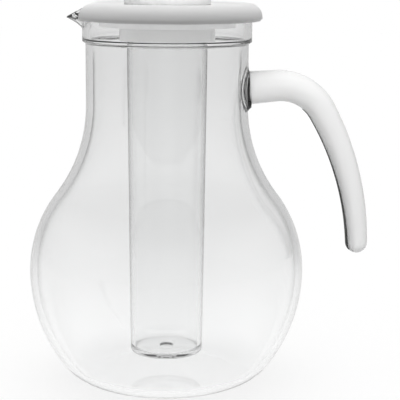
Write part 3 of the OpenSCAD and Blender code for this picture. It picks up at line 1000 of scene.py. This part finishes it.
# Painted dark shade on the clear strip's sideways faces
CLEAR_STRIP_SIDE_PAINTED_SHADE = strip_plastic("clear_strip_side_painted_shade", STRIP_SIDE_PAINTED_SHADE_TINTS, STRIP_SIDE_PAINTED_SHADE_EDGES, 0.1, 0.5)
WHITE_HANDLE = white_plastic("white_handle", 0.86, 0.853, HANDLE_POLISH, 1, 0.006)
WHITE_LID = white_plastic("white_lid", 0.95, 0.943, LID_POLISH, 0.3, 0.002)
# Lit and shaded copies of the lid's white: the guard is painted lighter, the socket painted darker
# with shade
WHITE_GUARD_PAINTED_LIGHT = white_plastic("white_guard_painted_light", 0.985, 0.98, LID_POLISH, 1, 0.004)
WHITE_SOCKET_PAINTED_SHADE = white_plastic("white_socket_painted_shade", 0.76, 0.753, LID_POLISH, 0.3, 0.002)
WHITE_KNOB = white_plastic("white_knob", 0.94, 0.933, LID_POLISH, 1, 0.006)
SEAL = rubber("seal", (0.8, 0.82, 0.83), (0.76, 0.78, 0.79))


# Pieces

body = spin("pitcher_clear", body_section, body_turns())
dress(body, CLEAR_BODY, CLEAR_BODY_IN)
mark_inside(body, 2 * WALL)
boss = make_boss()
dress(boss, CLEAR_BODY, CLEAR_BODY_IN, CLEAR_BOSS_PAINTED_SHADOW, CLEAR_FOOT_PAINTED_SHADE)
mark_hole(boss)
body.data.materials.append(CLEAR_BOSS_PAINTED_SHADOW)
body.data.materials.append(CLEAR_FOOT_PAINTED_SHADE)
body = joined(body, boss)
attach(body, "pitcher")
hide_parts("pitcher_body")

cover = make_cover()
dress(cover, WHITE_HANDLE)
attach(cover, "pitcher")
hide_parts("handle_cover")

strip = make_strip()
dress(strip, CLEAR_STRIP, CLEAR_STRIP_SIDE_PAINTED_SHADE)
mark_sides(strip)
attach(strip, "pitcher")
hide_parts("handle_core")

tube = make_tube()
dress(tube, CLEAR_TUBE, CLEAR_TUBE_IN)
mark_inside(tube, TUBE_END_Z + TUBE_FLOOR + TUBE_ROUND)
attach(tube, "tube")
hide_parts("ice_tube")

lid = smooth_copy("lid", "lid_white")
dress(lid, WHITE_LID, WHITE_GUARD_PAINTED_LIGHT, WHITE_SOCKET_PAINTED_SHADE)
mark_lid(lid, GUARD_FROM_R, COLLAR_IN_R, RIM_H)
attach(lid, "lid")
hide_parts("lid")

knob = smooth_copy("lid_knob", "lid_knob_white")
dress(knob, WHITE_KNOB)
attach(knob, "lid")
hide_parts("lid_knob")

dress(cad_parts["tube_seal"], SEAL)


# Studio


def by_ray(tree, camera, seen, other):
    """A strength for the camera, one for what shows in or through the pieces, and one for light.
    What shows in or through them is brighter where it lights a white piece."""
    path = add(tree, "ShaderNodeLightPath")
    glossy = path.outputs["Is Glossy Ray"]
    shows = math_node(tree, "MAXIMUM", path.outputs["Is Transmission Ray"], glossy)
    lights = math_node(tree, "GREATER_THAN", path.outputs["Diffuse Depth"], 0.5)
    seen = math_node(tree, "MULTIPLY", seen, blend(tree, lights, 1, THROUGH_GLASS))
    return blend(tree, path.outputs["Is Camera Ray"], blend(tree, shows, other, seen), camera)


def make_floor():
    """A wide pale floor that keeps the object's shadow and otherwise looks white."""
    z = -FLOOR_DROP
    corners = [(x * FLOOR_HALF, y * FLOOR_HALF, z) for x, y in ((-1, -1), (1, -1), (1, 1), (-1, 1))]
    floor = make_mesh("floor", corners, [(0, 1, 2, 3)])
    material, tree = new_material("floor")
    matt = add(tree, "ShaderNodeBsdfDiffuse")
    matt.inputs["Color"].default_value = (*grey(FLOOR_SHADE), 1)
    place = add(tree, "ShaderNodeTexCoord")
    away = add(tree, "ShaderNodeVectorMath", operation="LENGTH")
    tree.links.new(place.outputs["Object"], away.inputs[0])
    power = math_node(tree, "LOGARITHM", away.outputs["Value"], 10)
    near, mid = NEAR_SEEN - FLOOR_LIT, MID_SEEN - FLOOR_LIT
    close = span(tree, power, NEAR_POWER, MID_POWER, near, mid)
    beyond = span(tree, power, MID_POWER, FAR_POWER, 0, FAR_SEEN - MID_SEEN)
    seen = math_node(tree, "ADD", close, beyond)
    across = math_node(tree, "DIVIDE", coordinate(tree, "Object", "X"), away.outputs["Value"])
    screened = math_node(tree, "MULTIPLY", seen, ramp(tree, across, -1, 1, SCREENS))
    screens = span(tree, power, SCREENS_FROM_POWER, SCREENS_FULL_POWER, 0, 1)
    seen = blend(tree, screens, seen, screened)
    glow = add(tree, "ShaderNodeEmission")
    strength = by_ray(tree, FLOOR_WHITE - FLOOR_LIT, seen, FLOOR_GLOW)
    tree.links.new(strength, glow.inputs["Strength"])
    material.cycles.emission_sampling = "NONE"
    both = add(tree, "ShaderNodeAddShader")
    tree.links.new(matt.outputs["BSDF"], both.inputs[0])
    tree.links.new(glow.outputs["Emission"], both.inputs[1])
    output(tree, both.outputs["Shader"])
    dress(floor, material)


def make_world():
    """Soft light from all round, seen as white by the camera, and darker overhead in the object."""
    world = bpy.data.worlds.new("studio")
    bpy.context.scene.world = world
    world.use_nodes = True
    tree = world.node_tree
    tree.nodes.clear()
    across, behind, up = (coordinate(tree, "Generated", axis) for axis in "XYZ")
    seen = span(tree, up, TOP_FROM, TOP_FULL, FAR_SEEN, TOP_SEEN)
    seen = math_node(tree, "MULTIPLY", seen, ramp(tree, across, -1, 1, SCREENS))
    lean = math.radians(TOP_LEAN)
    upward = math_node(tree, "MULTIPLY", up, math.cos(lean))
    backward = math_node(tree, "MULTIPLY", behind, math.sin(lean))
    lobe = math_node(tree, "MAXIMUM", math_node(tree, "SUBTRACT", upward, backward), 0)
    high = math_node(tree, "POWER", lobe, TOP_LIGHT_POWER)
    light = span(tree, high, 0, 1, LOW_LIGHT, LOW_LIGHT + TOP_LIGHT, "LINEAR")
    behind = math_node(tree, "MAXIMUM", behind, 0)
    light = math_node(tree, "ADD", light, math_node(tree, "MULTIPLY", behind, BACK_LIGHT))
    world.cycles.sampling_method = "NONE"
    back = add(tree, "ShaderNodeBackground")
    back.inputs["Color"].default_value = (1, 1, 1, 1)
    tree.links.new(by_ray(tree, 1, seen, light), back.inputs["Strength"])
    end = add(tree, "ShaderNodeOutputWorld")
    tree.links.new(back.outputs["Background"], end.inputs["Surface"])


def add_front_light(receivers):
    """A wide, even light from the front for some pieces only, which the top light leaves dark."""
    light = bpy.data.lights.new("front_light", "SUN")
    light.angle = math.radians(FRONT_SPREAD)
    light.energy = FRONT_LIGHT * math.pi
    lamp = new_object("front_light", light)
    lamp.rotation_euler = Vector(FRONT_WAY).to_track_quat("-Z", "Y").to_euler()
    lamp.visible_glossy = False
    group = bpy.data.collections.new("milky_pieces")
    for piece in receivers:
        group.objects.link(piece)
    lamp.light_linking.receiver_collection = group


def make_camera():
    """The photograph's camera: it looks along +Y and down by PITCH, and leans by ROLL."""
    data = bpy.data.cameras.new("camera")
    data.sensor_width = SENSOR_W
    data.lens = SENSOR_W * FOCAL_PX / PHOTO_PX
    camera = new_object("camera", data)
    distance = FOCAL_PX * PHOTO_SCALE
    pitch = math.radians(PITCH)
    back = Vector((0, -math.cos(pitch), math.sin(pitch))) * distance
    look = (-back).to_track_quat("-Z", "Y").to_matrix().to_4x4()
    lean = Matrix.Rotation(math.radians(ROLL), 4, "Z")
    camera.matrix_world = Matrix.Translation((Vector(AIM) + back) * MM) @ look @ lean
    bpy.context.scene.camera = camera


make_floor()
make_world()
add_front_light([cover, knob])
make_camera()
bpy.context.scene.view_settings.view_transform = "Standard"
